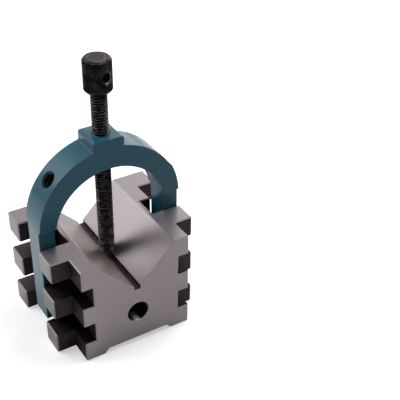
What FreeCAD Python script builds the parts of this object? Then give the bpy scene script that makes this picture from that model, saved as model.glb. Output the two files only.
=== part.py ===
import FreeCAD, Part

import os

import Sketcher
from FreeCAD import Rotation, Vector

# V block with side posts, its hook yoke and the yoke's clamp screw.
# Millimetres. The origin is the middle of the block's base, +Z is up, -Y is the end
# with the open recess beside it and +X is to the right of someone facing that end.

# Driving dimensions: name, value, what it is
SIZES = (
    ("block_length", 63.5, "block, end to end"),
    ("block_height", 54.0, "block, base to top"),
    ("core_width", 57.15, "block across its middle, between the recess floors"),
    ("post_width", 76.2, "block across its side posts"),
    ("recess_length", 12.7, "open recess at the front end, along the block"),
    ("front_post_length", 12.7, "front posts, along the block"),
    ("entry_length", 12.7, "deep channel where the yoke drops in"),
    ("lock_length", 12.7, "shallow channel where the yoke locks"),
    ("row_height", 10.8, "top and middle row of the posts"),
    ("slot_height", 10.8, "each of the two long slots below those rows"),
    ("slot_depth", 5.7, "long slots and deep channel, below the recess floor"),
    ("groove_width", 41.3, "V groove across its mouth"),
    ("groove_angle", 90.0, "angle between the V faces"),
    ("relief_width", 3.3, "saw slot at the bottom of the V"),
    ("relief_depth", 2.1, "saw slot, below the V faces"),
    ("base_relief_width", 37.2, "hollow under the base, at the base"),
    ("base_relief_height", 2.35, "hollow under the base"),
    ("bore_diameter", 11.1, "hole through the block from end to end"),
    ("bore_height", 19.05, "centre of that hole above the base"),
    ("edge_break", 0.55, "chamfer on the block's outer edges"),
    ("bore_break", 0.25, "chamfer at both mouths of the hole"),
    ("groove_break", 0.2, "chamfer on the groove's edges, at the top and the ends"),
    ("side_clearance", 0.6, "yoke leg to recess floor"),
    ("leg_thickness", 7.9, "yoke leg, across the block"),
    ("leg_play", 0.2, "yoke leg to channel wall, each way along the block"),
    ("hook_clearance", 0.5, "hook to the floor of the long slot"),
    ("hook_floor_gap", 1.2, "hook above the lower side of its slot"),
    ("hook_roof_gap", 2.0, "hook below the upper side of its slot"),
    ("spring_rise", 5.0, "where the inner arc starts, above the block's top"),
    ("crown_thickness", 11.0, "yoke at its crown"),
    ("shoulder_rise", 11.0, "underside of the wide arch above the block's top"),
    ("shoulder_step", 1.8, "arch wider than leg, each way, with a 45 degree taper"),
    ("boss_width", 15.6, "boss on the crown, across the block"),
    ("boss_rise", 4.2, "boss above the crown"),
    ("boss_foot_radius", 1.0, "fillet where the boss meets the arch"),
    ("boss_top_radius", 1.2, "rounding along the boss's upper sides"),
    ("pad_rise", 1.0, "raised pad on the right arm, above the arch"),
    ("pad_setback", 1.5, "pad, back from each face of the arch"),
    ("pad_start", 5.0, "lower end of the pad, above level"),
    ("pad_finish", 26.0, "upper end of the pad, above level"),
    ("pad_rounding", 0.4, "rounding along the pad's edges"),
    ("arm_hole_angle", 45.0, "tapped hole in the left arm, above level"),
    ("arm_hole_diameter", 6.6, "tapped hole in the left arm"),
    ("arm_sink_diameter", 8.9, "countersink at its mouth"),
    ("screw_diameter", 7.94, "clamp screw over its thread"),
    ("thread_clearance", 0.05, "screw to the yoke's hole, all round"),
    ("hole_break", 0.4, "chamfer at the mouth of the yoke's screw hole"),
    ("tip_diameter", 5.2, "flat point of the screw"),
    ("tip_clearance", 0.45, "point above the V faces, straight up"),
    ("free_stem", 21.3, "bare stem between boss and head"),
    ("neck_height", 1.7, "undercut below the head"),
    ("neck_depth", 0.7, "undercut below the head, each side"),
    ("head_diameter", 13.5, "screw head"),
    ("head_height", 16.1, "screw head"),
    ("head_chamfer", 1.1, "both ends of the head"),
    ("cross_hole_diameter", 4.5, "hole for a turning bar, through the head"),
    ("cross_hole_break", 0.4, "chamfer round that hole"),
    ("cross_hole_turn", 13.0, "that hole, turned from the block's length"),
)

# Cuts that run past a face go this far beyond it
OVERRUN = 2.0

# Places worked out from those sizes, as expressions
CORE_SIDE = "(Sizes.core_width / 2)"
POST_SIDE = "(Sizes.post_width / 2)"
SLOT_FLOOR = f"({CORE_SIDE} - Sizes.slot_depth)"
FRONT_END = "(-Sizes.block_length / 2)"
REAR_END = "(Sizes.block_length / 2)"
RECESS_END = f"({FRONT_END} + Sizes.recess_length)"
ENTRY_START = f"({RECESS_END} + Sizes.front_post_length)"
ENTRY_END = f"({ENTRY_START} + Sizes.entry_length)"
ENTRY_MIDDLE = f"({ENTRY_START} + Sizes.entry_length / 2)"
LOCK_END = f"({ENTRY_END} + Sizes.lock_length)"
TOP_SLOT_ROOF = "(Sizes.block_height - Sizes.row_height)"
TOP_SLOT_FLOOR = f"({TOP_SLOT_ROOF} - Sizes.slot_height)"
LOW_SLOT_ROOF = f"({TOP_SLOT_FLOOR} - Sizes.row_height)"
LOW_SLOT_FLOOR = f"({LOW_SLOT_ROOF} - Sizes.slot_height)"
GROOVE_HALF_SLOPE = "tan(Sizes.groove_angle / 2)"
GROOVE_CORNER = (
    f"(Sizes.block_height - (Sizes.groove_width - Sizes.relief_width) / 2 / {GROOVE_HALF_SLOPE})"
)

# The yoke's own heights start at the block's top
LEG_INSIDE = f"({CORE_SIDE} + Sizes.side_clearance)"
LEG_OUTSIDE = f"({LEG_INSIDE} + Sizes.leg_thickness)"
LEG_HALF_LENGTH = "(Sizes.entry_length / 2 - Sizes.leg_play)"
ARCH_HALF_LENGTH = f"({LEG_HALF_LENGTH} + Sizes.shoulder_step)"
HOOK_INSIDE = f"({SLOT_FLOOR} + Sizes.hook_clearance)"
HOOK_BOTTOM = f"({LOW_SLOT_FLOOR} + Sizes.hook_floor_gap - Sizes.block_height)"
HOOK_TOP = f"({LOW_SLOT_ROOF} - Sizes.hook_roof_gap - Sizes.block_height)"
ARC_OFFSET = "(Sizes.crown_thickness - Sizes.leg_thickness)"
OUTER_SPRING = f"(Sizes.spring_rise + {ARC_OFFSET})"
CROWN_TOP = f"({OUTER_SPRING} + {LEG_OUTSIDE})"
BOSS_TOP = f"({CROWN_TOP} + Sizes.boss_rise)"
PAD_RADIUS = f"({LEG_OUTSIDE} + Sizes.pad_rise)"
ARM_HOLE_MOUTH = (
    f"({ARC_OFFSET} * sin(Sizes.arm_hole_angle)"
    f" + sqrt({LEG_OUTSIDE}^2 - ({ARC_OFFSET} * cos(Sizes.arm_hole_angle))^2))"
)

# The screw's own heights start at its point
SCREW_SIDE = "(Sizes.screw_diameter / 2)"
TIP_SIDE = "(Sizes.tip_diameter / 2)"
TIP_HEIGHT = (
    f"(Sizes.block_height - (Sizes.groove_width / 2 - {TIP_SIDE}) / {GROOVE_HALF_SLOPE}"
    " + Sizes.tip_clearance)"
)
HEAD_BOTTOM = f"(Sizes.block_height + {BOSS_TOP} + Sizes.free_stem - {TIP_HEIGHT})"
HEAD_TOP = f"({HEAD_BOTTOM} + Sizes.head_height)"
HEAD_SIDE = "(Sizes.head_diameter / 2)"


def make_sheet(doc):
    """Puts the driving dimensions in a spreadsheet, one named cell each."""
    sheet = doc.addObject("Spreadsheet::Sheet", "Sizes")
    for row, (name, value, meaning) in enumerate(SIZES, start=1):
        sheet.set(f"A{row}", name)
        sheet.set(f"B{row}", str(value))
        sheet.set(f"C{row}", meaning)
        sheet.setAlias(f"B{row}", name)
    doc.recompute()
    return sheet


def value(doc, expression):
    """The number that an expression on the sheet comes to now."""
    return float(doc.getObject("Sizes").evalExpression(expression))


def make_body(doc, name):
    body = doc.addObject("PartDesign::Body", name)
    body.Label = name
    return body


def origin_plane(body, role):
    return next(plane for plane in body.Origin.OriginFeatures if plane.Role == role)


def make_sketch(body, name, role):
    """An empty sketch on one of the body's own origin planes."""
    sketch = body.newObject("Sketcher::SketchObject", name)
    sketch.AttachmentSupport = [(origin_plane(body, role), "")]
    sketch.MapMode = "FlatFace"
    return sketch


def hold(sketch, geometry, point, x=None, y=None):
    """Holds a sketch point at coordinates worked out from the sheet."""
    for kind, axis, expression in (("DistanceX", -2, x), ("DistanceY", -1, y)):
        if expression is None:
            continue
        if expression == "0":
            sketch.addConstraint(Sketcher.Constraint("PointOnObject", geometry, point, axis))
            continue
        now = value(sketch.Document, expression)
        index = sketch.addConstraint(Sketcher.Constraint(kind, -1, 1, geometry, point, now))
        sketch.setExpression(f"Constraints[{index}]", expression)


def outline(sketch, corners):
    """Draws a closed outline through corners given as (x, y) expressions.

    A third expression in a corner makes the side that leads to it an arc that bulges upwards, and gives
    the height of the arc's centre.
    """
    doc = sketch.Document
    points = [Vector(value(doc, corner[0]), value(doc, corner[1]), 0) for corner in corners]
    sides = []
    for index, corner in enumerate(corners):
        first = points[index - 1]
        last = points[index]
        if len(corner) == 2:
            geometry = sketch.addGeometry(Part.LineSegment(first, last))
            sides.append((geometry, 1, 2))
            continue
        centre = Vector((first.x + last.x) / 2, value(doc, corner[2]), 0)
        top = centre + Vector(0, first.distanceToPoint(centre), 0)
        geometry = sketch.addGeometry(Part.Arc(first, top, last))
        # An arc in a sketch always runs anticlockwise, so one drawn rightwards starts at its far end
        sides.append((geometry, 1, 2) if first.x > last.x else (geometry, 2, 1))
    for index, (geometry, start, end) in enumerate(sides):
        following, following_start, _ = sides[(index + 1) % len(sides)]
        sketch.addConstraint(Sketcher.Constraint("Coincident", geometry, end, following, following_start))
        hold(sketch, geometry, end, corners[index][0], corners[index][1])
        if len(corners[index]) == 3:
            hold(sketch, geometry, 3, y=corners[index][2])


def box_outline(sketch, left, right, bottom, top):
    outline(sketch, [(left, bottom), (right, bottom), (right, top), (left, top)])


def circle(sketch, x, y, diameter):
    """Draws a circle at a place and with a diameter from the sheet."""
    doc = sketch.Document
    centre = Vector(value(doc, x), value(doc, y), 0)
    geometry = sketch.addGeometry(Part.Circle(centre, Vector(0, 0, 1), value(doc, diameter) / 2))
    hold(sketch, geometry, 3, x, y)
    index = sketch.addConstraint(Sketcher.Constraint("Diameter", geometry, value(doc, diameter)))
    sketch.setExpression(f"Constraints[{index}]", diameter)


def pad_both_ways(body, name, sketch, length):
    pad = body.newObject("PartDesign::Pad", name)
    pad.Profile = sketch
    pad.SideType = "Symmetric"
    pad.setExpression("Length", length)
    return pad


def cut_right_through(body, name, sketch):
    """Cuts a sketch through the whole body, both ways from its plane."""
    pocket = body.newObject("PartDesign::Pocket", name)
    pocket.Profile = sketch
    pocket.SideType = "Symmetric"
    pocket.Type = "ThroughAll"
    return pocket


def edges_where(feature, wanted):
    """Names of the edges of a feature's shape that a test picks out."""
    shape = feature.Shape
    return [f"Edge{index}" for index, edge in enumerate(shape.Edges, start=1) if wanted(edge)]


def edge_middle(edge):
    return edge.valueAt((edge.FirstParameter + edge.LastParameter) / 2)


def three_points(edge):
    return [edge.valueAt(edge.FirstParameter), edge_middle(edge), edge.valueAt(edge.LastParameter)]


def close(first, second):
    """Whether two lengths are the same to a micron or so."""
    return abs(first - second) < 0.002


def chamfer(body, name, feature, edges, size):
    finish = body.newObject("PartDesign::Chamfer", name)
    finish.Base = (feature, edges)
    finish.setExpression("Size", size)
    return finish


def fillet(body, name, feature, edges, radius):
    finish = body.newObject("PartDesign::Fillet", name)
    finish.Base = (feature, edges)
    finish.setExpression("Radius", radius)
    return finish


def make_block(doc):
    """The block: a V groove on top, posts down both sides, long slots and two channels for the yoke."""
    body = make_body(doc, "v_block")
    beyond = f"({POST_SIDE} + {OVERRUN})"

    sketch = make_sketch(body, "blank_sketch", "XZ_Plane")
    box_outline(sketch, f"-{POST_SIDE}", POST_SIDE, "0", "Sizes.block_height")
    pad_both_ways(body, "blank", sketch, "Sizes.block_length")

    sketch = make_sketch(body, "groove_sketch", "XZ_Plane")
    over_top = f"(Sizes.block_height + {OVERRUN})"
    relief_bottom = f"({GROOVE_CORNER} - Sizes.relief_depth)"
    mouth = "(Sizes.groove_width / 2)"
    relief = "(Sizes.relief_width / 2)"
    outline(
        sketch,
        [
            (f"-{mouth}", "Sizes.block_height"),
            (f"-{relief}", GROOVE_CORNER),
            (f"-{relief}", relief_bottom),
            (relief, relief_bottom),
            (relief, GROOVE_CORNER),
            (mouth, "Sizes.block_height"),
            (mouth, over_top),
            (f"-{mouth}", over_top),
        ],
    )
    cut_right_through(body, "groove", sketch)

    # The hollow under the base leaves a foot along each side
    sketch = make_sketch(body, "base_relief_sketch", "XZ_Plane")
    at_base = "(Sizes.base_relief_width / 2)"
    at_top = f"({at_base} - Sizes.base_relief_height)"
    outline(
        sketch,
        [
            (f"-{at_base}", f"-{OVERRUN}"),
            (at_base, f"-{OVERRUN}"),
            (at_base, "0"),
            (at_top, "Sizes.base_relief_height"),
            (f"-{at_top}", "Sizes.base_relief_height"),
            (f"-{at_base}", "0"),
        ],
    )
    cut_right_through(body, "base_relief", sketch)

    # Cuts on the right side, which the mirror then repeats on the left
    sketch = make_sketch(body, "recess_sketch", "XY_Plane")
    box_outline(sketch, CORE_SIDE, beyond, f"({FRONT_END} - {OVERRUN})", RECESS_END)
    recess = cut_right_through(body, "recess", sketch)

    sketch = make_sketch(body, "entry_sketch", "XY_Plane")
    box_outline(sketch, SLOT_FLOOR, beyond, ENTRY_START, ENTRY_END)
    entry = cut_right_through(body, "entry_channel", sketch)

    sketch = make_sketch(body, "lock_sketch", "XY_Plane")
    box_outline(sketch, CORE_SIDE, beyond, ENTRY_END, LOCK_END)
    lock = cut_right_through(body, "lock_channel", sketch)

    sketch = make_sketch(body, "slots_sketch", "XZ_Plane")
    box_outline(sketch, SLOT_FLOOR, beyond, TOP_SLOT_FLOOR, TOP_SLOT_ROOF)
    box_outline(sketch, SLOT_FLOOR, beyond, LOW_SLOT_FLOOR, LOW_SLOT_ROOF)
    slots = cut_right_through(body, "long_slots", sketch)

    mirror = body.newObject("PartDesign::Mirrored", "other_side")
    mirror.Originals = [recess, entry, lock, slots]
    mirror.MirrorPlane = (origin_plane(body, "YZ_Plane"), [""])
    body.Tip = mirror

    sketch = make_sketch(body, "bore_sketch", "XZ_Plane")
    circle(sketch, "0", "Sizes.bore_height", "Sizes.bore_diameter")
    bore = cut_right_through(body, "bore", sketch)
    doc.recompute()

    # Every edge on one of the block's outermost faces is broken, the groove's and the hole's more finely
    top = value(doc, "Sizes.block_height")
    side = value(doc, POST_SIDE)
    end = value(doc, REAR_END)
    groove_side = value(doc, mouth)
    groove_bottom = value(doc, relief_bottom)

    def is_outermost(edge):
        points = three_points(edge)
        return (
            all(close(point.z, top) for point in points)
            or all(close(point.z, 0) for point in points)
            or all(close(abs(point.x), side) for point in points)
            or all(close(abs(point.y), end) for point in points)
        )

    def is_on_groove(edge):
        points = three_points(edge)
        beside = all(abs(point.x) < groove_side or close(abs(point.x), groove_side) for point in points)
        return beside and all(point.z > groove_bottom or close(point.z, groove_bottom) for point in points)

    def is_bore_mouth(edge):
        return isinstance(edge.Curve, Part.Circle)

    def is_plain(edge):
        return is_outermost(edge) and not is_on_groove(edge) and not is_bore_mouth(edge)

    def is_groove_edge(edge):
        return is_outermost(edge) and is_on_groove(edge)

    edge_breaks = chamfer(body, "edge_breaks", bore, edges_where(bore, is_plain), "Sizes.edge_break")
    doc.recompute()
    mouths = edges_where(edge_breaks, is_bore_mouth)
    bore_breaks = chamfer(body, "bore_breaks", edge_breaks, mouths, "Sizes.bore_break")
    doc.recompute()
    groove_edges = edges_where(bore_breaks, is_groove_edge)
    chamfer(body, "groove_breaks", bore_breaks, groove_edges, "Sizes.groove_break")
    return body


def make_yoke(doc):
    """The yoke: one arch whose legs hang beside the block and hook inwards into its lower slots."""
    body = make_body(doc, "clamp_yoke")

    sketch = make_sketch(body, "arch_sketch", "XZ_Plane")
    outline(
        sketch,
        [
            (f"-{LEG_OUTSIDE}", HOOK_BOTTOM),
            (f"-{LEG_OUTSIDE}", OUTER_SPRING),
            (LEG_OUTSIDE, OUTER_SPRING, OUTER_SPRING),
            (LEG_OUTSIDE, HOOK_BOTTOM),
            (HOOK_INSIDE, HOOK_BOTTOM),
            (HOOK_INSIDE, HOOK_TOP),
            (LEG_INSIDE, HOOK_TOP),
            (LEG_INSIDE, "Sizes.spring_rise"),
            (f"-{LEG_INSIDE}", "Sizes.spring_rise", "Sizes.spring_rise"),
            (f"-{LEG_INSIDE}", HOOK_TOP),
            (f"-{HOOK_INSIDE}", HOOK_TOP),
            (f"-{HOOK_INSIDE}", HOOK_BOTTOM),
        ],
    )
    pad_both_ways(body, "arch", sketch, f"2 * {ARCH_HALF_LENGTH}")

    # The raised pad on the right arm, with the middle of its width on this sketch's Y axis
    sketch = make_sketch(body, "arm_pad_sketch", "XZ_Plane")
    sketch.setExpression("AttachmentOffset.Base.y", OUTER_SPRING)
    sketch.AttachmentOffset = FreeCAD.Placement(Vector(0, 0, 0), Rotation(Vector(0, 0, 1), 1))
    sketch.setExpression("AttachmentOffset.Rotation.Angle", "(Sizes.pad_start + Sizes.pad_finish) / 2 - 90")
    half_pad = "((Sizes.pad_finish - Sizes.pad_start) / 2)"
    root = f"({LEG_OUTSIDE} - Sizes.leg_thickness / 2)"
    outline(
        sketch,
        [
            (f"-{PAD_RADIUS} * sin{half_pad}", f"{PAD_RADIUS} * cos{half_pad}"),
            (f"{PAD_RADIUS} * sin{half_pad}", f"{PAD_RADIUS} * cos{half_pad}", "0"),
            (f"{root} * sin{half_pad}", f"{root} * cos{half_pad}"),
            (f"-{root} * sin{half_pad}", f"{root} * cos{half_pad}"),
        ],
    )
    pad = pad_both_ways(body, "arm_pad", sketch, f"2 * ({ARCH_HALF_LENGTH} - Sizes.pad_setback)")
    doc.recompute()
    pad_radius = value(doc, PAD_RADIUS)
    pad_centre = value(doc, OUTER_SPRING)

    def is_pad_rim(edge):
        return all(
            close(Vector(point.x, 0, point.z - pad_centre).Length, pad_radius) for point in three_points(edge)
        )

    fillet(body, "arm_pad_rounding", pad, edges_where(pad, is_pad_rim), "Sizes.pad_rounding")

    sketch = make_sketch(body, "boss_sketch", "XZ_Plane")
    boss_side = "(Sizes.boss_width / 2)"
    crown_middle = f"({CROWN_TOP} - Sizes.crown_thickness / 2)"
    box_outline(sketch, f"-{boss_side}", boss_side, crown_middle, BOSS_TOP)
    boss = pad_both_ways(body, "boss", sketch, f"2 * {ARCH_HALF_LENGTH}")
    doc.recompute()

    # The boss's sides run into the arch, and its upper side edges are rounded
    half_boss = value(doc, boss_side)
    boss_top = value(doc, BOSS_TOP)

    def is_boss_edge(edge, at_top):
        middle = edge_middle(edge)
        runs_along = close(abs(edge.tangentAt(edge.FirstParameter).y), 1)
        on_side = close(abs(middle.x), half_boss)
        return runs_along and on_side and close(middle.z, boss_top) == at_top

    foot_edges = edges_where(boss, lambda edge: is_boss_edge(edge, False))
    boss_foot = fillet(body, "boss_foot", boss, foot_edges, "Sizes.boss_foot_radius")
    doc.recompute()
    top_edges = edges_where(boss_foot, lambda edge: is_boss_edge(edge, True))
    fillet(body, "boss_shoulders", boss_foot, top_edges, "Sizes.boss_top_radius")

    # The legs are narrower than the arch, to fit the channels
    below = f"({HOOK_BOTTOM} - {OVERRUN})"
    outside = f"({ARCH_HALF_LENGTH} + {OVERRUN})"
    taper_top = f"(Sizes.shoulder_rise + {OVERRUN})"
    taper_foot = "(Sizes.shoulder_rise - Sizes.shoulder_step)"
    sketch = make_sketch(body, "leg_flats_sketch", "YZ_Plane")
    for sign in ("-", ""):
        outline(
            sketch,
            [
                (f"{sign}{LEG_HALF_LENGTH}", below),
                (f"{sign}{LEG_HALF_LENGTH}", taper_foot),
                (f"{sign}{outside}", taper_top),
                (f"{sign}{outside}", below),
            ],
        )
    cut_right_through(body, "leg_flats", sketch)

    sketch = make_sketch(body, "screw_hole_sketch", "XY_Plane")
    circle(sketch, "0", "0", "Sizes.screw_diameter + 2 * Sizes.thread_clearance")
    screw_hole = cut_right_through(body, "screw_hole", sketch)
    doc.recompute()

    def is_screw_hole_mouth(edge):
        return isinstance(edge.Curve, Part.Circle) and close(edge_middle(edge).z, boss_top)

    mouth = edges_where(screw_hole, is_screw_hole_mouth)
    chamfer(body, "screw_hole_break", screw_hole, mouth, "Sizes.hole_break")

    # The tapped hole in the left arm points at the centre of the inner arc, along this sketch's X axis
    sketch = make_sketch(body, "arm_hole_sketch", "XZ_Plane")
    sketch.setExpression("AttachmentOffset.Base.y", "Sizes.spring_rise")
    sketch.AttachmentOffset = FreeCAD.Placement(Vector(0, 0, 0), Rotation(Vector(0, 0, 1), 1))
    sketch.setExpression("AttachmentOffset.Rotation.Angle", "180 - Sizes.arm_hole_angle")
    hole_side = "(Sizes.arm_hole_diameter / 2)"
    sink_depth = f"(Sizes.arm_sink_diameter / 2 - {hole_side})"
    outline(
        sketch,
        [
            (f"({LEG_INSIDE} - {OVERRUN})", "0"),
            (f"({ARM_HOLE_MOUTH} + {OVERRUN})", "0"),
            (f"({ARM_HOLE_MOUTH} + {OVERRUN})", f"({hole_side} + {sink_depth} + {OVERRUN})"),
            (f"({ARM_HOLE_MOUTH} - {sink_depth})", hole_side),
            (f"({LEG_INSIDE} - {OVERRUN})", hole_side),
        ],
    )
    arm_hole = body.newObject("PartDesign::Groove", "arm_hole")
    arm_hole.Profile = sketch
    arm_hole.ReferenceAxis = (sketch, ["H_Axis"])
    arm_hole.Angle = 360

    body.setExpression("Placement.Base.y", ENTRY_MIDDLE)
    body.setExpression("Placement.Base.z", "Sizes.block_height")
    return body


def make_screw(doc):
    """The clamp screw, turned in one piece, with a hole for a bar across its head."""
    body = make_body(doc, "clamp_screw")

    sketch = make_sketch(body, "turning_sketch", "XZ_Plane")
    tip_cone = f"(({SCREW_SIDE} - {TIP_SIDE}) / {GROOVE_HALF_SLOPE})"
    neck_side = f"({SCREW_SIDE} - Sizes.neck_depth)"
    neck_bottom = f"({HEAD_BOTTOM} - Sizes.neck_height)"
    head_flat = f"({HEAD_SIDE} - Sizes.head_chamfer)"
    outline(
        sketch,
        [
            ("0", "0"),
            (TIP_SIDE, "0"),
            (SCREW_SIDE, tip_cone),
            (SCREW_SIDE, neck_bottom),
            (neck_side, neck_bottom),
            (neck_side, HEAD_BOTTOM),
            (head_flat, HEAD_BOTTOM),
            (HEAD_SIDE, f"({HEAD_BOTTOM} + Sizes.head_chamfer)"),
            (HEAD_SIDE, f"({HEAD_TOP} - Sizes.head_chamfer)"),
            (head_flat, HEAD_TOP),
            ("0", HEAD_TOP),
        ],
    )
    turning = body.newObject("PartDesign::Revolution", "turning")
    turning.Profile = sketch
    turning.ReferenceAxis = (sketch, ["V_Axis"])
    turning.Angle = 360

    sketch = make_sketch(body, "cross_hole_sketch", "XZ_Plane")
    head_middle = f"({HEAD_BOTTOM} + Sizes.head_height / 2)"
    circle(sketch, "0", head_middle, "Sizes.cross_hole_diameter")
    cross_hole = cut_right_through(body, "cross_hole", sketch)
    doc.recompute()

    half_head = value(doc, HEAD_SIDE)
    middle_height = value(doc, head_middle)
    hole_radius = value(doc, "Sizes.cross_hole_diameter / 2")

    def is_cross_hole_rim(edge):
        middle = edge_middle(edge)
        on_head = close(Vector(middle.x, middle.y, 0).Length, half_head)
        return on_head and close(Vector(middle.x, 0, middle.z - middle_height).Length, hole_radius)

    rims = edges_where(cross_hole, is_cross_hole_rim)
    chamfer(body, "cross_hole_break", cross_hole, rims, "Sizes.cross_hole_break")

    body.Placement = FreeCAD.Placement(Vector(0, 0, 0), Rotation(Vector(0, 0, 1), 1))
    body.setExpression("Placement.Base.y", ENTRY_MIDDLE)
    body.setExpression("Placement.Base.z", TIP_HEIGHT)
    body.setExpression("Placement.Rotation.Angle", "Sizes.cross_hole_turn")
    return body


def check(doc, bodies):
    """Stops with the names of whatever did not build."""
    failed = [item.Name for item in doc.Objects if {"Invalid", "Error"} & set(item.State)]
    for body in bodies:
        if body.Shape.isNull() or not body.Shape.isValid() or len(body.Shape.Solids) != 1:
            failed.append(body.Label)
    if failed:
        raise RuntimeError("did not build: " + ", ".join(failed))


def main():
    doc = FreeCAD.newDocument("v_block")
    make_sheet(doc)
    bodies = [make_block(doc), make_yoke(doc), make_screw(doc)]
    doc.recompute()
    check(doc, bodies)
    os.makedirs("parts", exist_ok=True)
    for body in bodies:
        body.Shape.exportStep(f"parts/{body.Label}.step")
        print(body.Label, "volume", round(body.Shape.Volume), "mm3")


main()
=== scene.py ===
"""A steel V block with its hook yoke and clamp screw, dressed for the studio.

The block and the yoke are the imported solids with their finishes. The screw is modelled with its thread, its
knurled head and its cross hole, and the tapped hole in the yoke's arm gets its thread.
"""

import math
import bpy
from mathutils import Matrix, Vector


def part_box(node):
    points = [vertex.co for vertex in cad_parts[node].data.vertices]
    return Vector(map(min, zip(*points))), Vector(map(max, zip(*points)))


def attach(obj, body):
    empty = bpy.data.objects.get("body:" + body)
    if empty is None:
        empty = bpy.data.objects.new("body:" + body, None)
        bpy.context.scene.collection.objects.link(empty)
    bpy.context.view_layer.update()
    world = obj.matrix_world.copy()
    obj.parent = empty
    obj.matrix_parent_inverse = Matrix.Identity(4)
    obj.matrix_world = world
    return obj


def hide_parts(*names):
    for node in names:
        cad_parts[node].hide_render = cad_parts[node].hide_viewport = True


bl_info = {
    "name": "V block",
    "version": (1, 0, 0),
    "blender": (4, 5, 0),
    "location": "View3D > Sidebar > V block",
    "description": "Finishes a V block with a hook yoke, threads its clamp screw and sets the studio",
    "category": "Object",
}

import bpy
from bpy.props import FloatProperty, FloatVectorProperty, IntProperty, PointerProperty
from mathutils import Vector

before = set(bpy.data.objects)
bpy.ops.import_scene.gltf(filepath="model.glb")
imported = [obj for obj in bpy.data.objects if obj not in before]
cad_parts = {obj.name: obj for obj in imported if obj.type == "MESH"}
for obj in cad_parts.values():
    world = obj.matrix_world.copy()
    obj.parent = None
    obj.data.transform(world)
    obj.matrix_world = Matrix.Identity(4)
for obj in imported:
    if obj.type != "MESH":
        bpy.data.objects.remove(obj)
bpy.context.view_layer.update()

MM = 0.001
HAIR = 0.01 * MM  # too little to be seen
UP = Vector((0, 0, 1))
DOWN = -UP
WHITE = (1, 1, 1, 1)

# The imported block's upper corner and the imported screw's two, in metres
BLOCK_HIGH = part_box("v_block")[1]
SCREW_LOW, SCREW_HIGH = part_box("clamp_screw")

# Where the block's ground finish lies, in millimetres
V_BOTTOM = 33.35  # the height at which the two faces of the V would meet
V_START = 34.8  # the height at which they begin, over the saw slot
GRINDING_FULL = 0.12  # how deep below an outer face it is whole
GRINDING_FADED = 0.22  # and how deep it has gone


class SteelFinish(bpy.types.PropertyGroup):
    """The block's finishes: ground outside and in the V, dark from heat treatment where it was milled, and the bore."""

    ground: FloatVectorProperty(
        name="Ground steel", description="Colour of the ground faces", subtype="COLOR",
        size=3, min=0, max=1, default=(0.368, 0.323, 0.339),
    )
    milled: FloatVectorProperty(
        name="Milled steel", description="Colour of the milled slots and channels", subtype="COLOR",
        size=3, min=0, max=1, default=(0.053, 0.038, 0.0365),
    )
    ground_roughness: FloatProperty(
        name="Ground roughness", description="Roughness of the ground faces", subtype="FACTOR",
        min=0, max=1, default=0.36,
    )
    milled_roughness: FloatProperty(
        name="Milled roughness", description="Roughness of the milled faces", subtype="FACTOR",
        min=0, max=1, default=0.45,
    )
    # Painted highlight: the bright colour at the bottom of the bore's mouths
    rubbed_and_glint: FloatVectorProperty(
        name="Rubbed steel", description="Colour at the bottom of the bore's mouths", subtype="COLOR",
        size=3, min=0, max=1, default=(0.95, 0.86, 0.82),
    )
    bore_height: FloatProperty(
        name="Bore height", description="The hole's centre above the base", unit="LENGTH", default=19.05 * MM,
    )
    bore_diameter: FloatProperty(
        name="Bore", description="Hole through the block", unit="LENGTH", default=11.1 * MM,
    )


class EnamelFinish(bpy.types.PropertyGroup):
    """The yoke's enamel over its casting."""

    colour: FloatVectorProperty(
        name="Enamel", description="Colour of the enamel", subtype="COLOR",
        size=3, min=0, max=1, default=(0.0105, 0.105, 0.160),
    )
    # Lighter teal on the edges: thinner enamel and a painted highlight
    edge: FloatVectorProperty(
        name="Thin enamel", description="Colour where the enamel is thin over an edge", subtype="COLOR",
        size=3, min=0, max=1, default=(0.07, 0.20, 0.26),
    )
    roughness: FloatProperty(
        name="Enamel roughness", description="Roughness of the enamel", subtype="FACTOR",
        min=0, max=1, default=0.40,
    )


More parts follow.
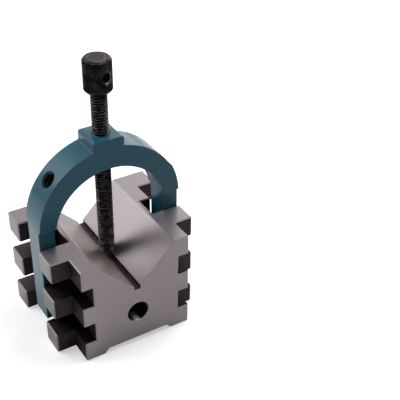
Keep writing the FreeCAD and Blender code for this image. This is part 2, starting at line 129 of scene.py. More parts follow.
class ScrewSizes(bpy.types.PropertyGroup):
    """The clamp screw's thread, knurl and cross hole."""

    diameter: FloatProperty(
        name="Thread diameter", description="Across the thread's crests", unit="LENGTH", default=7.94 * MM,
    )
    pitch: FloatProperty(
        name="Pitch", description="From crest to crest, 18 to the inch", unit="LENGTH", default=25.4 / 18 * MM,
    )
    thread_depth: FloatProperty(
        name="Thread depth", description="From crest to root", unit="LENGTH", default=0.866 * MM,
    )
    tip_diameter: FloatProperty(
        name="Point", description="Across the flat point", unit="LENGTH", default=5.2 * MM,
    )
    neck_height: FloatProperty(
        name="Neck height", description="Undercut below the head", unit="LENGTH", default=1.7 * MM,
    )
    neck_depth: FloatProperty(
        name="Neck depth", description="Undercut below the head, each side", unit="LENGTH", default=0.7 * MM,
    )
    head_diameter: FloatProperty(
        name="Head diameter", description="Across the knurl's points", unit="LENGTH", default=13.5 * MM,
    )
    head_height: FloatProperty(
        name="Head height", description="Height of the head", unit="LENGTH", default=16.1 * MM,
    )
    head_chamfer: FloatProperty(
        name="Head chamfer", description="Chamfer at both ends of the head", unit="LENGTH", default=1.1 * MM,
    )
    knurl_depth: FloatProperty(
        name="Knurl depth", description="From a diamond's point to its corners", unit="LENGTH", default=0.38 * MM,
    )
    knurl_round: IntProperty(
        name="Diamonds round", description="Diamonds in one ring of the knurl", min=8, default=48,
    )
    knurl_rows: IntProperty(
        name="Knurl rows", description="Half diamonds from the lower to the upper end", min=2, default=20,
    )
    hole_diameter: FloatProperty(
        name="Cross hole", description="Hole for a turning bar", unit="LENGTH", default=4.5 * MM,
    )
    hole_turn: FloatProperty(
        name="Cross hole turn", description="Hole turned from the block's length", subtype="ANGLE",
        default=math.radians(13),
    )
    colour: FloatVectorProperty(
        name="Black oxide", description="Colour of the screw", subtype="COLOR",
        size=3, min=0, max=1, default=(0.0040, 0.0031, 0.0037),
    )
    worn: FloatVectorProperty(
        name="Worn oxide", description="Colour where the oxide has worn", subtype="COLOR",
        size=3, min=0, max=1, default=(0.205, 0.166, 0.166),
    )
    turned: FloatVectorProperty(
        name="Turned top", description="Colour of the head's top face", subtype="COLOR",
        size=3, min=0, max=1, default=(0.029, 0.0225, 0.0225),
    )
    bright: FloatVectorProperty(
        name="Bright steel", description="Colour of the countersunk rim", subtype="COLOR",
        size=3, min=0, max=1, default=(0.16, 0.15, 0.15),
    )


class ArmThreadSizes(bpy.types.PropertyGroup):
    """The thread in the tapped hole of the left arm."""

    hole_diameter: FloatProperty(
        name="Hole", description="The hole in the packed arm", unit="LENGTH", default=6.6 * MM,
    )
    ridge_height: FloatProperty(
        name="Ridge", description="Height of the thread inside the hole", unit="LENGTH", default=0.45 * MM,
    )
    angle: FloatProperty(
        name="Angle", description="Of the hole above level", subtype="ANGLE", default=math.radians(45),
    )
    arc_centre: FloatProperty(
        name="Arc centre", description="Height of the inner arc's centre", unit="LENGTH", default=59.0 * MM,
    )
    start: FloatProperty(
        name="Start", description="From the arc's centre to the first turn", unit="LENGTH", default=29.3 * MM,
    )
    finish: FloatProperty(
        name="Finish", description="From the arc's centre to the last turn", unit="LENGTH", default=38.05 * MM,
    )
    bare_diameter: FloatProperty(
        name="Bare cut", description="Across the part of the countersink that is bare", unit="LENGTH",
        default=8.25 * MM,
    )
    # Painted shade: near black, for the shade inside the tapped hole
    colour: FloatVectorProperty(
        name="Tapped steel", description="Colour of the tapped hole", subtype="COLOR",
        size=3, min=0, max=1, default=(0.004, 0.0045, 0.005),
    )


class StudioSettings(bpy.types.PropertyGroup):
    """Camera, lamps and floor."""

    camera_place: FloatVectorProperty(
        name="Camera place", description="Where the camera stands", unit="LENGTH",
        size=3, default=(-0.14156, -0.3019, 0.28948),
    )
    camera_turn: FloatVectorProperty(
        name="Camera turn", description="How the camera is turned", subtype="EULER",
        size=3, default=(math.radians(56.074), math.radians(-1.077), math.radians(-32.347)),
    )
    lens: FloatProperty(name="Lens", description="Focal length in millimetres", unit="CAMERA", default=74.4)
    left_lamp: FloatProperty(
        name="Left lamp", description="Soft lamp at the back left, in watts", unit="POWER", default=2.0,
    )
    right_lamp: FloatProperty(
        name="Right lamp", description="Soft lamp high at the right, in watts", unit="POWER", default=5.5,
    )
    low_lamp: FloatProperty(
        name="Low lamp", description="Soft lamp low at the back right, in watts", unit="POWER", default=1.15,
    )
    back_lamp: FloatProperty(
        name="Back lamp", description="Soft lamp high at the back left, in watts", unit="POWER", default=3.1,
    )
    lamp_size: FloatProperty(name="Lamp size", description="Width of each lamp", unit="LENGTH", default=0.6)
    aim: FloatVectorProperty(
        name="Aim", description="The place at which the lamps point", unit="LENGTH", size=3, default=(0, 0, 0.05),
    )
    room: FloatProperty(name="Room light", description="Strength of the room's even light", default=0.0)
    backdrop: FloatProperty(
        name="Backdrop", description="Share of the white backdrop in the gloss", subtype="FACTOR",
        min=0, max=1, default=0.6,
    )
    floor_glow: FloatProperty(name="Floor glow", description="Lifts the floor to white for the camera", default=0.5)
    floor_colour: FloatVectorProperty(
        name="Floor", description="Colour of the floor", subtype="COLOR",
        size=3, min=0, max=1, default=(0.9, 0.9, 0.9),
    )


class VBlockSettings(bpy.types.PropertyGroup):
    """All settings of the V block."""

    steel: PointerProperty(type=SteelFinish)
    enamel: PointerProperty(type=EnamelFinish)
    screw: PointerProperty(type=ScrewSizes)
    arm_thread: PointerProperty(type=ArmThreadSizes)
    studio: PointerProperty(type=StudioSettings)


class Nodes:
    """A node tree whose nodes are laid down one after the other."""

    def __init__(self, tree):
        self.tree = tree

    def put(self, socket, value):
        """Gives a socket a plain value or another node's output."""
        if isinstance(value, bpy.types.NodeSocket):
            self.tree.links.new(value, socket)
        else:
            socket.default_value = value

    def node(self, kind, values=(), **settings):
        """Adds a node, sets it and then gives its sockets their values."""
        node = self.tree.nodes.new(kind)
        for name, value in settings.items():
            setattr(node, name, value)
        for name, value in dict(values).items():
            self.put(node.inputs[name], value)
        return node

    def maths(self, operation, first, *others):
        """A number worked out from one other, or from several taken in turn."""
        for other in others or (0.0,):
            first = self.node("ShaderNodeMath", {0: first, 1: other}, operation=operation).outputs[0]
        return first

    def vector_maths(self, operation, first, second=(0, 0, 0)):
        """The two outputs of a sum with directions: a direction and a number."""
        return self.node("ShaderNodeVectorMath", {0: first, 1: second}, operation=operation).outputs


class Finish(Nodes):
    """A material that is laid out by the place on the piece, in millimetres."""

    def __init__(self, name, **sockets):
        self.material = bpy.data.materials.new(name)
        self.material.use_nodes = True
        super().__init__(self.material.node_tree)
        self.shader = self.tree.nodes["Principled BSDF"]
        self.set(**sockets)
        values = {0: self.node("ShaderNodeTexCoord").outputs["Object"], "Scale": 1 / MM}
        self.place = self.node("ShaderNodeVectorMath", values, operation="SCALE").outputs[0]

    def set(self, **sockets):
        """Gives the shader's own sockets their values, with _ for a blank in a socket's name."""
        for socket, value in sockets.items():
            self.put(self.shader.inputs[socket.replace("_", " ")], value)

    def split(self, vector):
        """A direction's three parts."""
        return self.node("ShaderNodeSeparateXYZ", {0: vector}).outputs

    def off_line(self, point, direction):
        """How far a place is from the line that runs through a point in a direction of length 1."""
        offset = self.vector_maths("SUBTRACT", self.place, point)[0]
        square = self.vector_maths("CROSS_PRODUCT", offset, direction)[0]
        return self.vector_maths("LENGTH", square)["Value"]

    def step(self, value, low, high):
        """0 up to low, 1 from high and a straight rise between them, also with high below low."""
        return self.node("ShaderNodeMapRange", {"Value": value, "From Min": low, "From Max": high}).outputs[0]

    def near(self, value, target, far, close):
        """0 where a value is further than far from its target, 1 where it is closer than close."""
        return self.step(self.maths("ABSOLUTE", self.maths("SUBTRACT", value, target)), far, close)

    def grain(self, scale, stretch=(1, 1, 1), detail=3.0, roughness=0.55):
        """Noise from 0 to 1, with its cells drawn out along an axis by a small number there."""
        laid = self.node("ShaderNodeMapping", {"Vector": self.place, "Scale": stretch}).outputs[0]
        values = {"Vector": laid, "Scale": scale, "Detail": detail, "Roughness": roughness}
        return self.node("ShaderNodeTexNoise", values).outputs["Fac"]

    def mix(self, share, first, second):
        """First colour where the share is 0, second where it is 1."""
        mixer = self.node("ShaderNodeMix", data_type="RGBA")
        self.put(mixer.inputs["Factor"], share)
        for socket, value in ((mixer.inputs[6], first), (mixer.inputs[7], second)):
            self.put(socket, value if isinstance(value, bpy.types.NodeSocket) else (*value[:3], 1))
        return mixer.outputs[2]

    def blend(self, share, first, second):
        """First number where the share is 0, second where it is 1."""
        return self.node("ShaderNodeMix", {"Factor": share, "A": first, "B": second}, data_type="FLOAT").outputs[0]

    def relief(self, height, distance, strength, normal=None):
        """A fine relief on top of another normal or on the plain surface."""
        values = {"Height": height, "Distance": distance, "Strength": strength}
        if normal:
            values["Normal"] = normal
        return self.node("ShaderNodeBump", values).outputs[0]


def tint(colour, red, green, blue):
    """A colour with each of its parts made stronger or weaker."""
    return tuple(min(1, part * factor) for part, factor in zip(colour, (red, green, blue)))


def shade(colour, factor):
    """A colour made lighter or darker."""
    return tint(colour, factor, factor, factor)


class BlockSteel(Finish):
    """Ground on the block's outside and in its V, drilled in the bore, milled and dark elsewhere."""

    def __init__(self, sizes):
        super().__init__("ground_and_milled_steel", Specular_IOR_Level=0.1)
        self.sizes = sizes
        self.x, self.y, self.z = self.split(self.place)
        self.across = self.maths("ABSOLUTE", self.x)
        self.along = self.maths("ABSOLUTE", self.y)
        normal = self.split(self.node("ShaderNodeNewGeometry").outputs["True Normal"])
        self.up = normal[2]
        self.sideways, self.lengthways, upright = (self.maths("ABSOLUTE", part) for part in normal)
        # The parts of a sloping face's normal add up to more than one
        self.sloping = self.step(self.maths("ADD", self.sideways, self.lengthways, upright), 1.2, 1.3)

    def ground_faces(self):
        """1 on the outermost planes, the faces of the V and the edge breaks, 0 elsewhere, with a ragged border."""
        ragged = self.maths("MULTIPLY", self.grain(0.9), 0.25)
        planes = ((self.across, BLOCK_HIGH.x), (self.along, BLOCK_HIGH.y), (self.z, BLOCK_HIGH.z))
        side, self.end, top = (
            self.step(self.maths("ADD", distance, ragged), plane / MM - GRINDING_FADED, plane / MM - GRINDING_FULL)
            for distance, plane in planes
        )
        base = self.step(self.maths("SUBTRACT", ragged, self.z), -GRINDING_FADED, -GRINDING_FULL)
        on_v = self.near(self.maths("SUBTRACT", self.z, self.across), V_BOTTOM, 0.30, 0.15)
        over_slot = self.step(self.z, V_START - 0.1, V_START + 0.1)
        self.v_faces = self.maths("MULTIPLY", on_v, over_slot)
        return self.maths("MAXIMUM", self.sloping, self.v_faces, side, self.end, top, base)

    def ground_look(self):
        """Colour, roughness and lines of the grinding, which runs along the block and across its ends."""
        ground, roughness = self.sizes.ground, self.sizes.ground_roughness
        along_lines = self.grain(7.0, (1, 0.03, 1), detail=4)
        across_lines = self.grain(7.0, (0.03, 1, 1), detail=4)
        lines = self.blend(self.end, along_lines, across_lines)
        cloud = self.grain(0.06, detail=2)
        clouded = self.mix(cloud, tint(ground, 0.92, 0.95, 1.0), tint(ground, 1.04, 1.04, 1.0))
        colour = self.mix(self.step(lines, 0.3, 0.7), shade(ground, 0.88), clouded)
        fleck = self.grain(1.3, detail=6, roughness=0.7)
        colour = self.mix(self.step(fleck, 0.55, 0.72), colour, shade(ground, 0.76))
        colour = self.mix(self.step(fleck, 0.42, 0.26), colour, shade(ground, 1.25))
        # A painted reflection makes the left face of the V lighter and warmer, but for its rear end
        left = self.step(self.x, 0, -1)
        front = self.step(self.y, 20, 12)
        painted_warm_reflection = self.maths("MULTIPLY", self.v_faces, left, front)
        colour = self.mix(painted_warm_reflection, colour, tint(ground, 1.13, 1.10, 0.99))
        # Painted shade: the edge breaks are darker, to tone down the light they catch
        broken = self.maths("MULTIPLY", self.sloping, self.maths("SUBTRACT", 1.0, self.v_faces))
        colour = self.mix(broken, colour, shade(ground, 0.82))
        return colour, self.blend(lines, roughness - 0.05, roughness + 0.06), lines

    def milled_look(self):
        """Colour, roughness and mottle of the milled faces: the dark scale that the heat treatment left, with painted
        shade in the front slots, painted light over the rear rows and a painted bluer reflection.
        """
        milled, roughness = self.sizes.milled, self.sizes.milled_roughness
        mottle = self.grain(0.45, detail=5, roughness=0.6)
        speck = self.grain(3.0, detail=3)
        colour = self.mix(self.step(mottle, 0.38, 0.65), shade(milled, 0.6), shade(milled, 1.6))
        colour = self.mix(self.step(speck, 0.56, 0.74), colour, shade(milled, 2.4))
        facing_up, facing_side, facing_along = (
            self.step(part, 0.5, 0.9) for part in (self.up, self.sideways, self.lengthways)
        )
        # Painted shade: dark on the slots' floors beside the front end, darker inward, with darker, bluer walls
        beside_core = self.step(self.across, 18, 20)
        fore = self.maths("MULTIPLY", self.step(self.y, 0, -8), beside_core)
        inward = self.step(self.across, 41, 28)
        painted_slot_shade = self.maths("MULTIPLY", facing_up, fore, inward)
        colour = self.mix(painted_slot_shade, colour, self.mix(mottle, shade(milled, 0.1), shade(milled, 0.5)))
        wall = self.maths("MULTIPLY", facing_side, fore)
        colour = self.mix(wall, colour, tint(milled, 0.62, 0.62, 0.95))
        # Painted light: lighter over the rear rows, which lie open to the light
        thin_and_painted_light = self.maths("MULTIPLY", facing_up, self.step(self.y, 12, 19), beside_core)
        colour = self.mix(thin_and_painted_light, colour, self.mix(mottle, shade(milled, 0.8), shade(milled, 2.2)))
        # Painted reflection: lighter and bluer on the faces that look along the block
        painted_blue_reflection = self.maths("MULTIPLY", facing_along, 0.5)
        colour = self.mix(painted_blue_reflection, colour, tint(milled, 1.15, 1.25, 1.75))
        return colour, self.blend(mottle, roughness - 0.08, roughness + 0.1), mottle

    def bore_look(self):
        """Colour, roughness and painted highlight of the bore: its wall is painted dark as shade, and bright at the
        bottom of its mouths alone, a painted highlight.
        """
        mouth = self.step(self.along, 23.0, 28.5)
        bottom = self.maths("MULTIPLY", self.step(self.z, 17.0, 15.0), self.near(self.x, -0.4, 2.3, 0.7))
        rubbed_and_glint = self.maths("MULTIPLY", mouth, bottom, self.step(self.grain(1.2), 0.25, 0.5))
        # The wall is painted dark as shade; the bright spot is a painted highlight
        colour = self.mix(rubbed_and_glint, shade(self.sizes.ground, 0.18), self.sizes.rubbed_and_glint)
        return colour, self.blend(rubbed_and_glint, 0.35, 0.8), rubbed_and_glint


def block_steel(sizes):
    """The block's whole finish."""
    steel = BlockSteel(sizes)
    ground = steel.ground_faces()
    ground_colour, ground_roughness, lines = steel.ground_look()
    milled_colour, milled_roughness, mottle = steel.milled_look()
    bore_colour, bore_roughness, rubbed_and_glint = steel.bore_look()
    bore_side = sizes.bore_diameter / MM / 2
    off_bore = steel.off_line((0, 0, sizes.bore_height / MM), (0, 1, 0))
    in_bore = steel.step(off_bore, bore_side + 0.05, bore_side + 0.02)
    scratches = steel.relief(lines, 0.004 * MM, 0.5)
    steel.set(
        Base_Color=steel.mix(in_bore, steel.mix(ground, milled_colour, ground_colour), bore_colour),
        Metallic=steel.blend(steel.maths("MULTIPLY", in_bore, rubbed_and_glint), steel.blend(ground, 0.3, 0.85), 1.0),
        Roughness=steel.blend(in_bore, steel.blend(ground, milled_roughness, ground_roughness), bore_roughness),
        Normal=steel.relief(steel.blend(ground, mottle, lines), 0.02 * MM, 0.35, scratches),
    )
    return steel.material


def teal_enamel(sizes, hole):
    """Enamel with a faint orange peel and a fine grain, lighter on the casting's edges from thinner enamel and a
    painted highlight, bare in the tapped hole, which is painted near black as shade.
    """
    enamel = Finish(
        "teal_enamel", Metallic=0.0, Specular_IOR_Level=0.15, Coat_Weight=1.0, Coat_IOR=1.28, Coat_Roughness=0.2
    )
    peel = enamel.grain(0.8, detail=2)
    cast = enamel.grain(0.18, detail=4)
    chips = enamel.grain(1.6, detail=6, roughness=0.7)
    grain = enamel.grain(1.5, detail=3, roughness=0.75)

    # The difference between the true and the rounded normal shows where an edge is
    rounded = enamel.node("ShaderNodeBevel", {"Radius": 0.45 * MM}, samples=6).outputs[0]
    true_normal = enamel.node("ShaderNodeNewGeometry").outputs["Normal"]
    at_edge = enamel.step(enamel.vector_maths("DOT_PRODUCT", rounded, true_normal)["Value"], 0.995, 0.90)
    # Painted highlight: the edges are lighter, partly from thinner enamel
    thin_and_painted_light = enamel.maths("MULTIPLY", at_edge, enamel.step(chips, 0.35, 0.65))

    # The tapped hole and its countersink were cut through the enamel, in the left arm alone; the bare cut is painted
    # near black as shade in the hole
    drilled_along = (-math.cos(hole.angle), 0, math.sin(hole.angle))
    off_hole = enamel.off_line((0, 0, hole.arc_centre / MM), drilled_along)
    bare_side = hole.bare_diameter / MM / 2
    left_arm = enamel.step(enamel.split(enamel.place)[0], -4, -6)
    in_hole = enamel.maths("MULTIPLY", enamel.step(off_hole, bare_side, bare_side - 0.15), left_arm)

    colour = enamel.mix(cast, shade(sizes.colour, 0.88), shade(sizes.colour, 1.14))
    colour = enamel.mix(enamel.step(grain, 0.52, 0.74), colour, shade(sizes.colour, 1.6))
    colour = enamel.mix(enamel.step(grain, 0.47, 0.30), colour, shade(sizes.colour, 0.68))
    colour = enamel.mix(thin_and_painted_light, colour, sizes.edge)
    enamel.set(
        Base_Color=enamel.mix(in_hole, colour, hole.colour),
        Roughness=enamel.blend(in_hole, enamel.blend(cast, sizes.roughness - 0.06, sizes.roughness + 0.08), 0.9),
        Normal=enamel.relief(peel, 0.06 * MM, 0.5, enamel.relief(grain, 0.02 * MM, 0.5, rounded)),
    )
    return enamel.material


def black_oxide(sizes):
    """Black oxide, worn on the thread's crests and the knurl's points, with a browner turned top."""
    oxide = Finish("black_oxide", Specular_IOR_Level=0.1)
    height = oxide.split(oxide.place)[2]
    out = oxide.off_line((0, 0, 0), (0, 0, 1))
    blot = oxide.grain(0.5, detail=5)
    thread_side = sizes.diameter / MM / 2
    head_side = sizes.head_diameter / MM / 2
    top = SCREW_HIGH.z / MM

    crest = oxide.step(out, thread_side - 0.34, thread_side - 0.05)
    on_stem = oxide.step(out, thread_side + 0.3, thread_side + 0.2)
    worn_crest = oxide.maths("MULTIPLY", crest, on_stem, oxide.step(blot, 0.40, 0.62))
    point = oxide.step(out, head_side - 0.19, head_side - 0.05)
    patch = oxide.step(oxide.grain(0.22, detail=3), 0.44, 0.56)
    worn_point = oxide.maths("MULTIPLY", point, oxide.maths("MAXIMUM", patch, 0.12))
    worn = oxide.maths("MAXIMUM", worn_crest, worn_point)

    # A broken bright line, a painted highlight, lies where the top's chamfer begins, and one where it ends
    near_top = oxide.step(height, top - 0.35, top - 0.15)
    upper_edge = oxide.maths("MULTIPLY", near_top, oxide.near(out, head_side - sizes.head_chamfer / MM, 0.30, 0.12))
    wall_side = head_side - sizes.knurl_depth / MM
    on_wall = oxide.step(out, wall_side - 0.2, wall_side - 0.05)
    wall_top = top - (sizes.head_chamfer - sizes.knurl_depth) / MM
    lower_edge = oxide.maths("MULTIPLY", on_wall, oxide.near(height, wall_top, 0.35, 0.15))
    unbroken = oxide.step(oxide.grain(0.3, detail=5), 0.45, 0.60)
    edge = oxide.maths("MULTIPLY", oxide.maths("MAXIMUM", upper_edge, lower_edge), unbroken)

    colour = oxide.mix(blot, shade(sizes.colour, 0.6), shade(sizes.colour, 1.5))
    colour = oxide.mix(on_stem, colour, oxide.mix(blot, shade(sizes.worn, 0.08), shade(sizes.worn, 0.24)))
    colour = oxide.mix(near_top, colour, oxide.mix(blot, shade(sizes.turned, 0.8), shade(sizes.turned, 1.2)))
    rubbed_and_glint = oxide.mix(on_stem, shade(sizes.worn, 1.7), shade(sizes.worn, 1.2))
    oxide.set(
        Base_Color=oxide.mix(edge, oxide.mix(worn, colour, rubbed_and_glint), shade(sizes.worn, 1.3)),
        Metallic=oxide.maths("MULTIPLY", worn, 0.9),
        Roughness=oxide.blend(blot, 0.28, 0.42),
        Normal=oxide.relief(oxide.grain(4.0), 0.02 * MM, 0.4),
    )
    return oxide.material


def tapped_steel(sizes):
    """Cut steel of the tapped hole, painted dark as shade inside the hole, lighter where the tap has worn it."""
    tapped = Finish("tapped_steel", Metallic=0.4, Specular_IOR_Level=0.1)
    rubbed_and_glint = tapped.grain(2.5, detail=4)
    tapped.set(
        Base_Color=tapped.mix(tapped.step(rubbed_and_glint, 0.5, 0.75), sizes.colour, shade(sizes.colour, 8)),
        Roughness=tapped.blend(rubbed_and_glint, 0.3, 0.5),
    )
    return tapped.material


def bright_rim_steel(sizes):
    """Bare steel of the countersunk rim."""
    rim = Finish("bright_rim_steel", Metallic=1.0)
    turned = rim.grain(5.0, (1, 1, 0.3))
    rim.set(
        Base_Color=rim.mix(turned, shade(sizes.bright, 0.75), sizes.bright),
        Roughness=rim.blend(turned, 0.22, 0.34),
    )
    return rim.material


def pale_floor(colour, glow):
    """A floor that is lifted to white for the camera, all the more further out, where the lamps reach less."""
    paper = Finish("pale_floor", Roughness=0.9, Base_Color=(*colour, 1))
    lifted_from, white_from = 250, 1200
    off = paper.vector_maths("LENGTH", paper.place)["Value"]
    strength = paper.maths("ADD", paper.step(off, lifted_from, white_from), glow)
    light = paper.node("ShaderNodeEmission", {"Color": WHITE, "Strength": strength}).outputs[0]
    plain = paper.shader.outputs[0]
    lit = paper.node("ShaderNodeAddShader", {0: plain, 1: light}).outputs[0]
    to_camera = paper.node("ShaderNodeLightPath").outputs["Is Camera Ray"]
    seen = paper.node("ShaderNodeMixShader", {0: to_camera, 1: plain, 2: lit}).outputs[0]
    paper.put(paper.tree.nodes["Material Output"].inputs["Surface"], seen)
    return paper.material


def leave():
    """Leaves edit mode."""
    bpy.ops.object.mode_set(mode="OBJECT")


def begin(add, name, **place):
    """Adds a primitive with nothing else selected and opens it in edit mode."""
    if bpy.context.object and bpy.context.object.mode != "OBJECT":
        leave()
    bpy.ops.object.select_all(action="DESELECT")
    add(**place)
    piece = bpy.context.object
    piece.name = name
    piece.data.name = name
    bpy.ops.object.transform_apply(location=True, rotation=True, scale=True)
    bpy.ops.object.mode_set(mode="EDIT")
    bpy.ops.mesh.select_all(action="DESELECT")
    return piece


def pick(piece, kind, wanted):
    """Selects the vertices, edges or faces that a test picks out, and leaves the piece in edit mode."""
    bpy.ops.object.mode_set(mode="EDIT")
    bpy.ops.mesh.select_mode(type={"vertices": "VERT", "edges": "EDGE", "polygons": "FACE"}[kind])
    bpy.ops.mesh.select_all(action="DESELECT")
    leave()
    for item in getattr(piece.data, kind):
        item.select = wanted(item)
    bpy.ops.object.mode_set(mode="EDIT")


def pick_faces(piece, direction):
    """Selects the faces that look in a direction."""
    pick(piece, "polygons", lambda face: face.normal.dot(direction) > 0.9)


def select_pieces(*pieces):
    """Selects these pieces alone, with the first one active."""
    bpy.ops.object.select_all(action="DESELECT")
    for piece in pieces:
        piece.select_set(True)
    bpy.context.view_layer.objects.active = pieces[0]


def apply_modifier(piece, kind, **settings):
    """Adds a modifier, sets it and applies it."""
    select_pieces(piece)
    bpy.ops.object.modifier_add(type=kind)
    modifier = piece.modifiers[-1]
    for name, value in settings.items():
        setattr(modifier, name, value)
    bpy.ops.object.modifier_apply(modifier=modifier.name)


def cut(piece, tool, operation):
    """Cuts a piece by a tool or keeps what lies inside it, and scraps the tool."""
    apply_modifier(piece, "BOOLEAN", operation=operation, object=tool, solver="EXACT")
    bpy.data.objects.remove(tool)


def join(name, *pieces):
    """Joins pieces into the first one."""
    select_pieces(*pieces)
    bpy.ops.object.join()
    pieces[0].name = name
    pieces[0].data.name = name
    return pieces[0]


def thread_ridge(name, start, root, crest, pitch, turns, steps):
    """One ridge wound round the Z axis: a section with a flat crest, swept by the Screw modifier."""
    ridge = begin(bpy.ops.mesh.primitive_plane_add, name, size=1, location=(0, 0, 0))
    bpy.ops.mesh.select_all(action="SELECT")
    bpy.ops.mesh.delete(type="ONLY_FACE")
    leave()
    half_crest = pitch / 8 / 2
    half_foot = pitch * 0.76 / 2
    section = ((root, -half_foot), (crest, -half_crest), (root, half_foot), (crest, half_crest))
    for vertex, (out, rise) in zip(ridge.data.vertices, section):
        vertex.co = (out, 0, start + rise)
    apply_modifier(
        ridge, "SCREW", angle=2 * math.pi, screw_offset=pitch, iterations=turns, steps=steps, render_steps=steps,
        use_smooth_shade=False, use_merge_vertices=False,
    )
    # Both ends are closed
    bpy.ops.object.mode_set(mode="EDIT")
    bpy.ops.mesh.select_mode(type="EDGE")
    bpy.ops.mesh.select_all(action="DESELECT")
    bpy.ops.mesh.select_non_manifold()
    bpy.ops.mesh.edge_face_add()
    bpy.ops.mesh.select_all(action="SELECT")
    bpy.ops.mesh.normals_make_consistent(inside=False)
    leave()
    return ridge


def turned_stem(sizes, root, top):
    """The screw's core with its flat point, and the undercut below the head."""
    low = SCREW_LOW.z
    neck_low = top - sizes.neck_height
    stem = begin(
        bpy.ops.mesh.primitive_cylinder_add, "stem", vertices=48, radius=root, depth=neck_low - low,
        location=(0, 0, (low + neck_low) / 2),
    )
    # The cone of the point meets the core a little above the flat
    pick_faces(stem, DOWN)
    cone = root - sizes.tip_diameter / 2
    bpy.ops.mesh.inset(thickness=cone)
    leave()
    for vertex in stem.data.vertices:
        if vertex.co.z < low + HAIR and math.hypot(vertex.co.x, vertex.co.y) > root - HAIR:
            vertex.co.z += cone
    # The neck rises from a ring inside the core's top, which is then drawn to the neck's size
    pick_faces(stem, UP)
    ledge = 0.5 * MM
    bpy.ops.mesh.inset(thickness=ledge)
    neck = (sizes.diameter / 2 - sizes.neck_depth) / (root - ledge)
    bpy.ops.transform.resize(value=(neck, neck, 1), center_override=(0, 0, neck_low))
    bpy.ops.mesh.extrude_region_move(TRANSFORM_OT_translate={"value": (0, 0, sizes.neck_height)})
    leave()
    return stem


def point_cone(sizes, top):
    """A solid that holds what the point's cone leaves of the thread."""
    low = SCREW_LOW.z
    envelope = begin(
        bpy.ops.mesh.primitive_cylinder_add, "envelope", vertices=96, radius=sizes.diameter / 2 + HAIR,
        depth=top - low, location=(0, 0, (top + low) / 2),
    )
    pick_faces(envelope, DOWN)
    bpy.ops.mesh.bevel(offset=(sizes.diameter - sizes.tip_diameter) / 2, segments=1, affect="EDGES")
    leave()
    return envelope


def knurled_head(sizes, low, middle):
    """The head: a blank with chamfered ends whose wall is drawn out into diamonds."""
    valley = sizes.head_diameter / 2 - sizes.knurl_depth
    columns = 2 * sizes.knurl_round
    head = begin(
        bpy.ops.mesh.primitive_cylinder_add, "head", vertices=columns, radius=valley, depth=sizes.head_height,
        location=(0, 0, middle),
    )
    pick(head, "polygons", lambda face: abs(face.normal.z) > 0.9)
    chamfer = sizes.head_chamfer - sizes.knurl_depth
    bpy.ops.mesh.bevel(offset=chamfer, segments=1, affect="EDGES")
    leave()

    # The wall is cut into rows, and every other crossing is pushed out to a point
    corners = head.data.vertices
    pick(
        head, "edges",
        lambda edge: abs(corners[edge.vertices[0]].co.z - corners[edge.vertices[1]].co.z) > 3 * chamfer,
    )
    bpy.ops.mesh.subdivide(number_cuts=sizes.knurl_rows - 1)
    row_height = (sizes.head_height - 2 * chamfer) / sizes.knurl_rows

    def is_point(vertex):
        row = round((vertex.co.z - low - chamfer) / row_height)
        column = round(math.atan2(vertex.co.y, vertex.co.x) / (2 * math.pi) * columns)
        on_wall = math.hypot(vertex.co.x, vertex.co.y) > valley - HAIR
        return on_wall and 0 < row < sizes.knurl_rows and (row + column) % 2 == 0

    pick(head, "vertices", is_point)
    out = sizes.head_diameter / 2 / valley
    bpy.ops.transform.resize(value=(out, out, 1), center_override=(0, 0, middle))
    pick(head, "polygons", lambda face: abs(face.normal.z) < 0.5)
    bpy.ops.mesh.quads_convert_to_tris(quad_method="SHORTEST_DIAGONAL")
    leave()
    return head


def hole_direction(sizes):
    """The way that the cross hole's front end looks."""
    return Vector((math.sin(sizes.hole_turn), -math.cos(sizes.hole_turn), 0))


def bar_hole_cutter(sizes, middle):
    """A drill with a countersink at each end, lying across the head."""
    drill_side = sizes.hole_diameter / 2
    countersink = 0.62 * MM
    straight = sizes.head_diameter / 2 - countersink
    cutter = begin(
        bpy.ops.mesh.primitive_cylinder_add, "cutter", vertices=40, radius=drill_side, depth=2 * straight,
        location=(0, 0, 0), rotation=(math.pi / 2, 0, sizes.hole_turn),
    )
    # Each end widens at 45 degrees until it is well outside the head
    flare = 1.4 * MM
    grown = 1 + flare / drill_side
    for outwards in (hole_direction(sizes), -hole_direction(sizes)):
        pick_faces(cutter, outwards)
        bpy.ops.mesh.extrude_region_move(TRANSFORM_OT_translate={"value": outwards * flare})
        bpy.ops.transform.resize(value=(grown, grown, grown), center_override=outwards * (straight + flare))
    bpy.ops.mesh.select_all(action="SELECT")
    bpy.ops.transform.translate(value=(0, 0, middle))
    leave()
    return cutter


def mark_rim(screw, sizes, middle):
    """Gives the countersunk rims the second material, by their place and slope."""
    direction = hole_direction(sizes)
    drill_side = sizes.hole_diameter / 2
    rim_width = 1.3 * MM
    rim_reach = 4 * MM
    for face in screw.data.polygons:
        offset = face.center - Vector((0, 0, middle))
        from_axis = offset - direction * offset.dot(direction)
        in_rim = drill_side < from_axis.length < drill_side + rim_width and abs(offset.z) < rim_reach
        sloping = 0.5 < abs(face.normal.dot(direction)) < 0.9
        if in_rim and sloping and face.normal.dot(from_axis) < 0:
            face.material_index = 1


class VBLOCK_OT_block_finish(bpy.types.Operator):
    """Gives the block its ground and milled steel"""

    bl_idname = "vblock.block_finish"
    bl_label = "Finish the block"

    def execute(self, context):
        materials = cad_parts["v_block"].data.materials
        materials.clear()
        materials.append(block_steel(context.scene.v_block.steel))
        return {"FINISHED"}


class VBLOCK_OT_yoke_finish(bpy.types.Operator):
    """Gives the yoke its enamel"""

    bl_idname = "vblock.yoke_finish"
    bl_label = "Finish the yoke"

    def execute(self, context):
        settings = context.scene.v_block
        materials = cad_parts["clamp_yoke"].data.materials
        materials.clear()
        materials.append(teal_enamel(settings.enamel, settings.arm_thread))
        return {"FINISHED"}


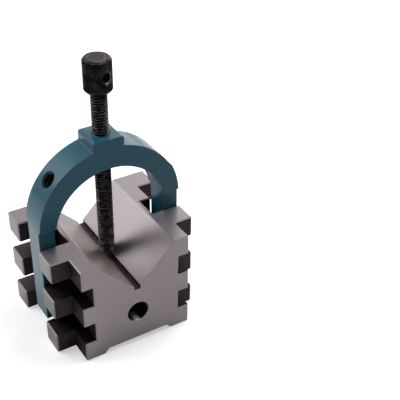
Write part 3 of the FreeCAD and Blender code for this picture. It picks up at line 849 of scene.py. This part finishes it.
class VBLOCK_OT_arm_thread(bpy.types.Operator):
    """Cuts the thread of the tapped hole in the left arm"""

    bl_idname = "vblock.arm_thread"
    bl_label = "Thread the arm's hole"

    def execute(self, context):
        sizes = context.scene.v_block.arm_thread
        pitch = context.scene.v_block.screw.pitch
        turns = int((sizes.finish - sizes.start) / pitch) - 1
        # The ridge's foot is sunk into the hole's wall
        foot = sizes.hole_diameter / 2 + 0.03 * MM
        crest = sizes.hole_diameter / 2 - sizes.ridge_height
        ridge = thread_ridge("arm_thread", sizes.start + 0.6 * pitch, foot, crest, pitch, turns, 28)
        ridge.rotation_euler = (0, sizes.angle - math.pi / 2, 0)
        ridge.location = (0, 0, sizes.arc_centre)
        bpy.ops.object.transform_apply(location=True, rotation=True, scale=True)
        ridge.data.materials.append(tapped_steel(sizes))
        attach(ridge, "yoke")
        return {"FINISHED"}


class VBLOCK_OT_clamp_screw(bpy.types.Operator):
    """Turns, threads, knurls and cross drills the clamp screw"""

    bl_idname = "vblock.clamp_screw"
    bl_label = "Make the clamp screw"

    def execute(self, context):
        sizes = context.scene.v_block.screw
        under_head = SCREW_HIGH.z - sizes.head_height
        middle = SCREW_HIGH.z - sizes.head_height / 2
        neck_low = under_head - sizes.neck_height
        root = sizes.diameter / 2 - sizes.thread_depth
        turns = int((neck_low - SCREW_LOW.z) / sizes.pitch) + 1
        # The ridge's foot is sunk into the core, and its first turn starts below the point
        foot = root - 0.05 * MM
        start = SCREW_LOW.z - 0.3 * sizes.pitch
        ridge = thread_ridge("thread", start, foot, sizes.diameter / 2, sizes.pitch, turns, 32)
        cut(ridge, point_cone(sizes, neck_low), "INTERSECT")
        stem = turned_stem(sizes, root, under_head)
        head = knurled_head(sizes, under_head, middle)
        cut(head, bar_hole_cutter(sizes, middle), "DIFFERENCE")
        screw = join("threaded_screw", stem, ridge, head)
        screw.data.materials.clear()
        screw.data.materials.append(black_oxide(sizes))
        screw.data.materials.append(bright_rim_steel(sizes))
        mark_rim(screw, sizes, middle)
        fewest_faces = 4000
        if len(screw.data.polygons) < fewest_faces:
            raise RuntimeError("the clamp screw lost its thread or its knurl")
        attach(screw, "screw")
        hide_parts("clamp_screw")
        return {"FINISHED"}


class VBLOCK_OT_studio(bpy.types.Operator):
    """Sets the floor, the lamps, the room and the camera"""

    bl_idname = "vblock.studio"
    bl_label = "Set the studio"

    def lamp(self, studio, name, watts, place):
        """Adds a square soft lamp that points at the piece."""
        bpy.ops.object.light_add(type="AREA", location=place)
        lamp = bpy.context.object
        lamp.name = name
        lamp.data.energy = watts
        lamp.data.size = studio.lamp_size
        lamp.rotation_euler = (Vector(studio.aim) - Vector(place)).to_track_quat("-Z", "Y").to_euler()

    def room(self, studio):
        """An even room, with a white backdrop that the camera and the gloss see."""
        world = bpy.data.worlds.new("room")
        world.use_nodes = True
        room = Nodes(world.node_tree)
        even = room.tree.nodes["Background"]
        room.put(even.inputs["Color"], WHITE)
        room.put(even.inputs["Strength"], studio.room)
        white = room.node("ShaderNodeBackground", {"Color": WHITE, "Strength": 1})
        path = room.node("ShaderNodeLightPath").outputs
        mirrored = room.maths("MULTIPLY", path["Is Glossy Ray"], studio.backdrop)
        share = room.maths("MAXIMUM", path["Is Camera Ray"], mirrored)
        choice = room.node("ShaderNodeMixShader", {0: share, 1: even.outputs[0], 2: white.outputs[0]})
        room.put(room.tree.nodes["World Output"].inputs["Surface"], choice.outputs[0])
        return world

    def execute(self, context):
        studio = context.scene.v_block.studio
        floor = begin(bpy.ops.mesh.primitive_plane_add, "floor", size=6, location=(0, 0, -0.05 * MM))
        leave()
        floor.data.materials.append(pale_floor(studio.floor_colour, studio.floor_glow))

        self.lamp(studio, "left_lamp", studio.left_lamp, (-0.52, 0.52, 0.57))
        self.lamp(studio, "right_lamp", studio.right_lamp, (0.45, 0, 0.83))
        self.lamp(studio, "low_lamp", studio.low_lamp, (0.6, 0.6, 0.36))
        self.lamp(studio, "back_lamp", studio.back_lamp, (-0.32, 0.32, 0.83))
        context.scene.world = self.room(studio)

        bpy.ops.object.camera_add(location=studio.camera_place, rotation=studio.camera_turn)
        camera = bpy.context.object
        camera.name = "camera"
        camera.data.lens = studio.lens
        camera.data.clip_start = 0.01
        context.scene.camera = camera
        context.scene.view_settings.view_transform = "Standard"
        return {"FINISHED"}


class VBLOCK_PT_panel(bpy.types.Panel):
    """The V block's settings and steps"""

    bl_label = "V block"
    bl_space_type = "VIEW_3D"
    bl_region_type = "UI"
    bl_category = "V block"

    def draw(self, context):
        settings = context.scene.v_block
        steps = (
            (VBLOCK_OT_block_finish, settings.steel),
            (VBLOCK_OT_yoke_finish, settings.enamel),
            (VBLOCK_OT_arm_thread, settings.arm_thread),
            (VBLOCK_OT_clamp_screw, settings.screw),
            (VBLOCK_OT_studio, settings.studio),
        )
        for step, group in steps:
            box = self.layout.box()
            for name in group.__annotations__:
                box.prop(group, name)
            box.operator(step.bl_idname)


CLASSES = (
    SteelFinish,
    EnamelFinish,
    ScrewSizes,
    ArmThreadSizes,
    StudioSettings,
    VBlockSettings,
    VBLOCK_OT_block_finish,
    VBLOCK_OT_yoke_finish,
    VBLOCK_OT_arm_thread,
    VBLOCK_OT_clamp_screw,
    VBLOCK_OT_studio,
    VBLOCK_PT_panel,
)


def register():
    for item in CLASSES:
        bpy.utils.register_class(item)
    bpy.types.Scene.v_block = PointerProperty(type=VBlockSettings)


def unregister():
    del bpy.types.Scene.v_block
    for item in reversed(CLASSES):
        bpy.utils.unregister_class(item)


def main():
    register()
    bpy.ops.vblock.block_finish()
    bpy.ops.vblock.yoke_finish()
    bpy.ops.vblock.arm_thread()
    bpy.ops.vblock.clamp_screw()
    bpy.ops.vblock.studio()


if __name__ == "__main__":
    main()
